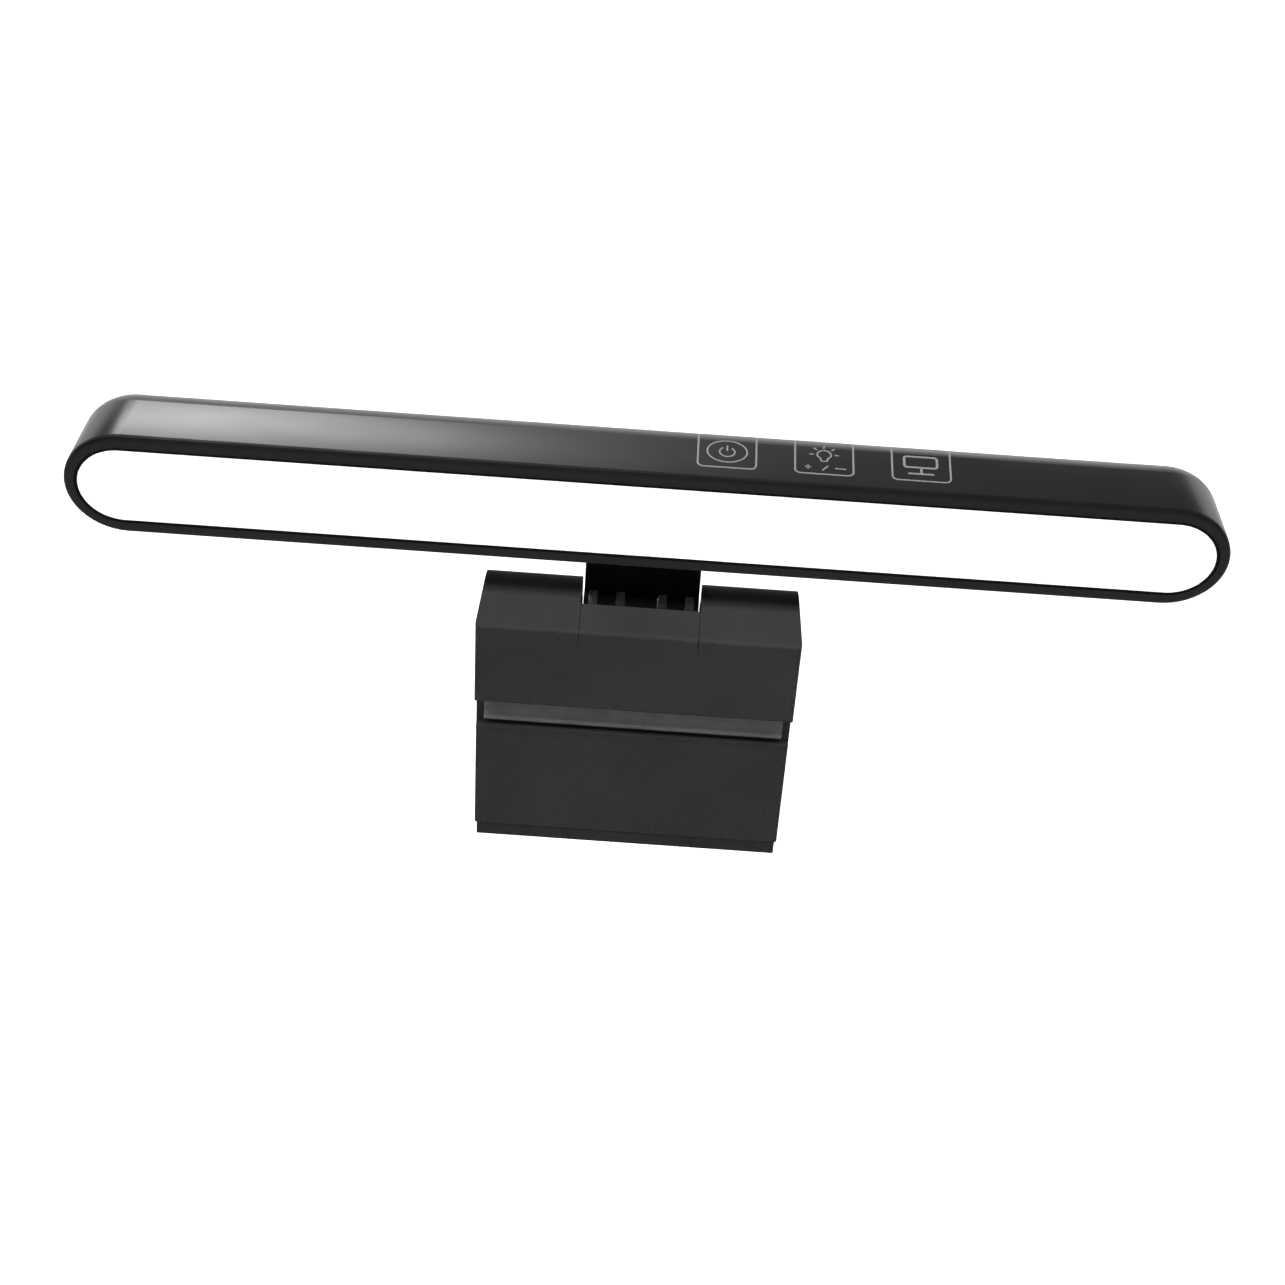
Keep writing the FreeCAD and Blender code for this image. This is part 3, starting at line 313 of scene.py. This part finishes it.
def bar_paint():
    """Satin black coating: slight orange peel, fine dust-like grain, faint smears."""
    surface = Surface("bar_paint", 0.30, specular=0.5)
    patches = surface.noise(scale=22.0, detail=3.0)
    surface.colours(patches, (0.2, grey(0.0165)), (0.8, grey(0.0205)))
    smears = surface.noise(scale=60.0, detail=6.0, stretch=SMEARS_ALONG_X)
    surface.roughness(smears, 0.27, 0.33)
    orange_peel = surface.noise(scale=900.0)
    surface.bump(orange_peel, 0.004 * MM)
    grain = surface.noise(scale=5200.0, detail=1.0)
    surface.bump(grain, 0.0025 * MM)
    surface.bump(surface.crown(PAINT_CROWN_MIDDLE, PAINT_CROWN_STEEPNESS), 1.0)
    return surface


def opal():
    """The lit opal window with a frosted grain and a narrow black edge band."""
    surface = Surface("opal", 0.55, specular=0.05)
    maths = surface.maths
    past_ends = maths("SUBTRACT", maths("ABSOLUTE", surface.along("X")), WINDOW_HALF)
    beyond = maths("MAXIMUM", past_ends, 0.0)
    above = maths("SUBTRACT", surface.along("Z"), WINDOW_CENTRE_Z)
    squares = maths("ADD", maths("MULTIPLY", beyond, beyond), maths("MULTIPLY", above, above))
    inside = maths("LESS_THAN", squares, (WINDOW_RADIUS - WINDOW_BORDER) ** 2)
    clouds = surface.spread(surface.noise(scale=700.0), 0.88, 0.94)
    surface.colours(maths("MULTIPLY", inside, clouds), (0.0, grey(0.0015)), (1.0, grey(1.0)))
    surface.bump(surface.noise(scale=3000.0), 0.004 * MM)
    surface.shader.inputs["Emission Color"].default_value = WHITE
    glow = maths("MULTIPLY", inside, WINDOW_GLOW)
    surface.tree.links.new(glow, surface.shader.inputs["Emission Strength"])
    return surface


def rubber(name, tone, roughness=0.8):
    """Soft rubber: matte, with a dense pebble grain and pale bloom in patches."""
    surface = Surface(name, roughness, specular=0.10)
    bloom = surface.noise(scale=150.0, detail=6.0)
    surface.colours(bloom, (0.3, grey(tone * 0.85)), (0.75, grey(tone * 1.2)))
    wear = surface.noise(scale=300.0, detail=3.0)
    surface.roughness(wear, roughness - 0.08, roughness + 0.08)
    surface.bump(surface.cells(scale=2400.0), 0.015 * MM)
    return surface


def steel(name, tone=0.55, roughness=0.3):
    """Turned or ground metal: fine lines one way, with duller patches."""
    surface = Surface(name, roughness, metallic=1.0)
    lines = surface.noise(scale=9000.0, detail=3.0, stretch=LINES_ALONG_X)
    patches = surface.noise(scale=200.0, detail=4.0)
    surface.colours(patches, (0.3, grey(tone * 0.85)), (0.7, grey(tone * 1.1)))
    surface.roughness(lines, roughness - 0.08, roughness + 0.12)
    surface.bump(lines, 0.003 * MM)
    return surface


def black_steel():
    """Blackened screw steel with small worn spots."""
    surface = Surface("screw_steel", 0.4, metallic=1.0)
    worn_spots = surface.noise(scale=1500.0, detail=5.0)
    surface.colours(worn_spots, (0.45, grey(0.035)), (0.78, grey(0.20)))
    surface.roughness(surface.noise(scale=800.0, detail=4.0), 0.32, 0.5)
    surface.bump(surface.noise(scale=4000.0), 0.004 * MM)
    return surface


def circuit():
    """Green solder mask with paler tracks under it."""
    surface = Surface("board_green", 0.35, specular=0.5)
    node = surface.tree.nodes.new("ShaderNodeTexBrick")
    node.inputs["Scale"].default_value = 420.0
    node.inputs["Mortar Size"].default_value = 0.05
    node.inputs["Color1"].default_value = (0.008, 0.075, 0.030, 1.0)
    node.inputs["Color2"].default_value = (0.010, 0.090, 0.036, 1.0)
    node.inputs["Mortar"].default_value = (0.030, 0.170, 0.075, 1.0)
    surface.tree.links.new(surface.where, node.inputs["Vector"])
    surface.tree.links.new(node.outputs["Color"], surface.shader.inputs["Base Color"])
    surface.roughness(surface.noise(scale=400.0), 0.28, 0.42)
    return surface


def phosphor(name, colour):
    """The yellow window of a light package."""
    surface = Surface(name, 0.4)
    pale = tuple(min(1.0, channel * 1.15) for channel in colour)
    surface.colours(surface.noise(scale=1800.0, detail=3.0), (0.3, colour), (0.7, pale))
    surface.bump(surface.noise(scale=2500.0), 0.01 * MM)
    return surface


def tinted(name, colour, roughness, metallic=0.0):
    """A plain coloured finish with fine variation."""
    surface = Surface(name, roughness, metallic=metallic)
    dark = tuple(channel * 0.85 for channel in colour)
    surface.colours(surface.noise(scale=260.0, detail=4.0), (0.3, dark), (0.7, colour))
    marks = surface.noise(scale=500.0, detail=3.0)
    surface.roughness(marks, roughness - 0.05, roughness + 0.07)
    surface.bump(surface.noise(scale=2200.0), 0.006 * MM)
    return surface


def print_ink():
    """Light grey screen-printed ink, slightly uneven."""
    surface = Surface("print_ink", 0.5, specular=0.3)
    coat = surface.noise(scale=1600.0, detail=4.0)
    surface.colours(coat, (0.3, grey(0.24)), (0.7, grey(0.33)))
    surface.bump(surface.noise(scale=4000.0), 0.004 * MM)
    return surface


FINISHES = {
    "bar_paint": bar_paint,
    "rim_plastic": lambda: moulded(
        "rim_plastic", 0.009, 0.45, grain=3400.0, depth=0.008 * MM, specular=0.10
    ),
    "opal": opal,
    "white_plastic": lambda: tinted("white_plastic", grey(0.86), 0.35),
    "bare_aluminium": lambda: steel("bare_aluminium", 0.78, 0.35),
    "warm_led": lambda: phosphor("warm_led", (0.86, 0.60, 0.12)),
    "cool_led": lambda: phosphor("cool_led", (0.82, 0.78, 0.30)),
    "screw_steel": black_steel,
    "bright_steel": lambda: steel("bright_steel"),
    "ring_zinc": lambda: steel("ring_zinc", 0.60, 0.6),
    "board_green": circuit,
    "chip_black": lambda: moulded("chip_black", 0.02, 0.5),
    "copper": lambda: tinted("copper", (0.85, 0.42, 0.22), 0.3, metallic=1.0),
    "brass": lambda: tinted("brass", (0.80, 0.58, 0.26), 0.3, metallic=1.0),
    "ribbon_amber": lambda: tinted("ribbon_amber", (0.55, 0.24, 0.04), 0.3),
    "wire_red": lambda: tinted("wire_red", (0.50, 0.03, 0.03), 0.45),
    "neck_plastic": lambda: moulded("neck_plastic", 0.005, 0.5, specular=0.08),
    "head_plastic": lambda: moulded("head_plastic", 0.040, 0.55, specular=0.03),
    "leg_plastic": lambda: moulded("leg_plastic", 0.040, 0.58, specular=0.03),
    # The pad's rubber is light grey, and its tone is raised further to make up for the key's
    # shadow under the head's lip: partly painted light.
    "pad_rubber": lambda: rubber("pad_rubber", 0.36),
    "foot_rubber": lambda: rubber("foot_rubber", 0.024, 0.75),
}


def dress_cad_nodes():
    """Give every CAD node its finish."""
    made = {slot: make().material for slot, make in FINISHES.items()}
    for part in frame["record"]["subparts"]:
        holder = nodes[part["node"]]
        for place in holder.material_slots:
            place.material = made[part["material_slot"]]


# ---------------------------------------------------------------- printed touch keys
# All in mm on the bar's top; a sign's points are measured from the middle of its key.
POWER_KEY_X = 16.8
LAMP_KEY_X = 38.4
SCREEN_KEY_X = 60.0
KEY_Y = 7.1
KEY_HALF = (6.48, 6.6)
KEY_CORNER = 1.3
FRAME_LINE = 0.42
SIGN_LINE = 0.38
BOLD_LINE = 0.56
INK_HEIGHT = 0.025
INK_SINK = 0.05
LONGEST_STEP = 0.5
ABOVE_BAR_Z = 100.0

RING_RADIUS = 4.4
RING_STRETCH = (1.01, 0.88)
RING_MIDDLE_Y = -0.75
POWER_MIDDLE = (0.0, -0.9)
POWER_RADIUS = 1.7
BULB_MIDDLE = (0.0, 0.5)
BULB_RADIUS = 1.55
BULB_FOOT_X = 0.6
BULB_FOOT_Y = -1.9
RAY_SPAN = (2.3, 3.3)
RAY_ANGLES = (0, 45, 90, 135, 180)
SCREEN_MIDDLE = (-0.1, 0.15)
SCREEN_HALF = (3.65, 1.95)
SCREEN_CORNER = 0.7


def arc(centre, radius, start, end, pieces):
    """Points on an arc between two angles in degrees."""
    points = []
    for number in range(pieces + 1):
        angle = math.radians(start + (end - start) * number / pieces)
        points.append(Vector(centre) + radius * Vector((math.cos(angle), math.sin(angle))))
    return points


def rounded_box(centre, half, corner):
    """A closed outline with round corners."""
    points = []
    for sign_x, sign_y, start in ((1, 1, 0), (-1, 1, 90), (-1, -1, 180), (1, -1, 270)):
        middle = (
            centre[0] + sign_x * (half[0] - corner),
            centre[1] + sign_y * (half[1] - corner),
        )
        points += arc(middle, corner, start, start + 90, 6)
    return points


def rays(centre, span, angles):
    """Short straight lines that point away from a centre."""
    lines = []
    for angle in angles:
        aim = Vector((math.cos(math.radians(angle)), math.sin(math.radians(angle))))
        lines.append(([Vector(centre) + aim * reach for reach in span], False))
    return lines


def resampled(points, closed):
    """The same line with no step longer than LONGEST_STEP."""
    line = [Vector(point) for point in points]
    ends = line[1:] + (line[:1] if closed else [])
    even = []
    for here, there in zip(line, ends):
        count = max(1, math.ceil((there - here).length / LONGEST_STEP))
        even += [here.lerp(there, number / count) for number in range(count)]
    return even if closed else even + line[-1:]


def bar_top(x, y):
    """The height of the bar's outside above a point, in mm."""
    housing = nodes["bar_housing"]
    inverse = housing.matrix_world.inverted()
    above = inverse @ (Vector((x, y, ABOVE_BAR_Z)) * MM)
    down = (inverse.to_3x3() @ Vector((0, 0, -1))).normalized()
    hit, place, _, _ = housing.ray_cast(above, down)
    return (housing.matrix_world @ place).z / MM if hit else 0.0


def ink_line(mesh, points, width, closed=False):
    """A thin raised line that follows the bar's top."""
    line = resampled(points, closed)
    rings = []
    for number, here in enumerate(line):
        before = line[number - 1] if closed or number else here
        after = line[(number + 1) % len(line)] if closed or number + 1 < len(line) else here
        side = (after - before).normalized().orthogonal() * width / 2
        outline = (
            (side, INK_HEIGHT),
            (-side, INK_HEIGHT),
            (-side, -INK_SINK),
            (side, -INK_SINK),
        )
        ring = []
        for edge, lift in outline:
            x, y = here + edge
            ring.append(mesh.verts.new(Vector((x, y, bar_top(x, y) + lift)) * MM))
        rings.append(ring)
    pairs = list(zip(rings, rings[1:])) + ([(rings[-1], rings[0])] if closed else [])
    for first, second in pairs:
        for corner in range(4):
            following = (corner + 1) % 4
            quad = (first[corner], first[following], second[following], second[corner])
            mesh.faces.new(quad)
    if not closed:
        mesh.faces.new(rings[0][::-1])
        mesh.faces.new(rings[-1])


def key_piece(name, x, sign, width, ink):
    """One key: its frame, and its sign's lines, each (points, closed)."""
    mesh = bmesh.new()
    centre = (x, KEY_Y)
    ink_line(mesh, rounded_box(centre, KEY_HALF, KEY_CORNER), FRAME_LINE, closed=True)
    for points, closed in sign:
        moved = [Vector(point) + Vector(centre) for point in points]
        ink_line(mesh, moved, width, closed)
    bmesh.ops.recalc_face_normals(mesh, faces=mesh.faces)
    data = bpy.data.meshes.new(name)
    mesh.to_mesh(data)
    mesh.free()
    piece = bpy.data.objects.new(name, data)
    bpy.context.scene.collection.objects.link(piece)
    data.materials.append(ink)
    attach(piece, "lamp")


def power_sign():
    """A slightly flat ring round an open circle with a stroke."""
    circle = arc((0.0, 0.0), RING_RADIUS, 0, 360, 40)[:-1]
    wide, tall = RING_STRETCH
    return [
        ([Vector((x * wide, y * tall + RING_MIDDLE_Y)) for x, y in circle], True),
        (arc(POWER_MIDDLE, POWER_RADIUS, 125, 415, 20), False),
        ([(0.0, -0.5), (0.0, 1.4)], False),
    ]


def lamp_sign():
    """A bulb over a plus, a slash and a minus, with rays round it."""
    bulb = arc(BULB_MIDDLE, BULB_RADIUS, -55, 235, 20)
    foot = [(-BULB_FOOT_X, BULB_FOOT_Y), (BULB_FOOT_X, BULB_FOOT_Y)]
    return [
        (foot[:1] + bulb[::-1] + foot[1:], True),
        ([(-3.6, -4.9), (-3.6, -3.5)], False),
        ([(-4.3, -4.2), (-3.6, -4.2)], False),
        ([(-3.6, -4.2), (-2.9, -4.2)], False),
        ([(-0.4, -5.2), (0.9, -3.5)], False),
        ([(2.4, -4.3), (4.9, -4.3)], False),
    ] + rays(BULB_MIDDLE, RAY_SPAN, RAY_ANGLES)


def screen_sign():
    """A screen on its stand."""
    return [
        (rounded_box(SCREEN_MIDDLE, SCREEN_HALF, SCREEN_CORNER), True),
        ([(0.0, -1.85), (0.0, -3.8)], False),
        ([(-3.0, -4.1), (2.8, -4.1)], False),
    ]


def make_keys():
    """The three printed keys: on and off, brightness and colour, and screen light."""
    ink = print_ink().material
    key_piece("key_print_power", POWER_KEY_X, power_sign(), SIGN_LINE, ink)
    key_piece("key_print_lamp", LAMP_KEY_X, lamp_sign(), SIGN_LINE, ink)
    key_piece("key_print_screen", SCREEN_KEY_X, screen_sign(), BOLD_LINE, ink)


make_camera()
make_world()
make_floor()
make_lights()
dress_cad_nodes()
make_keys()
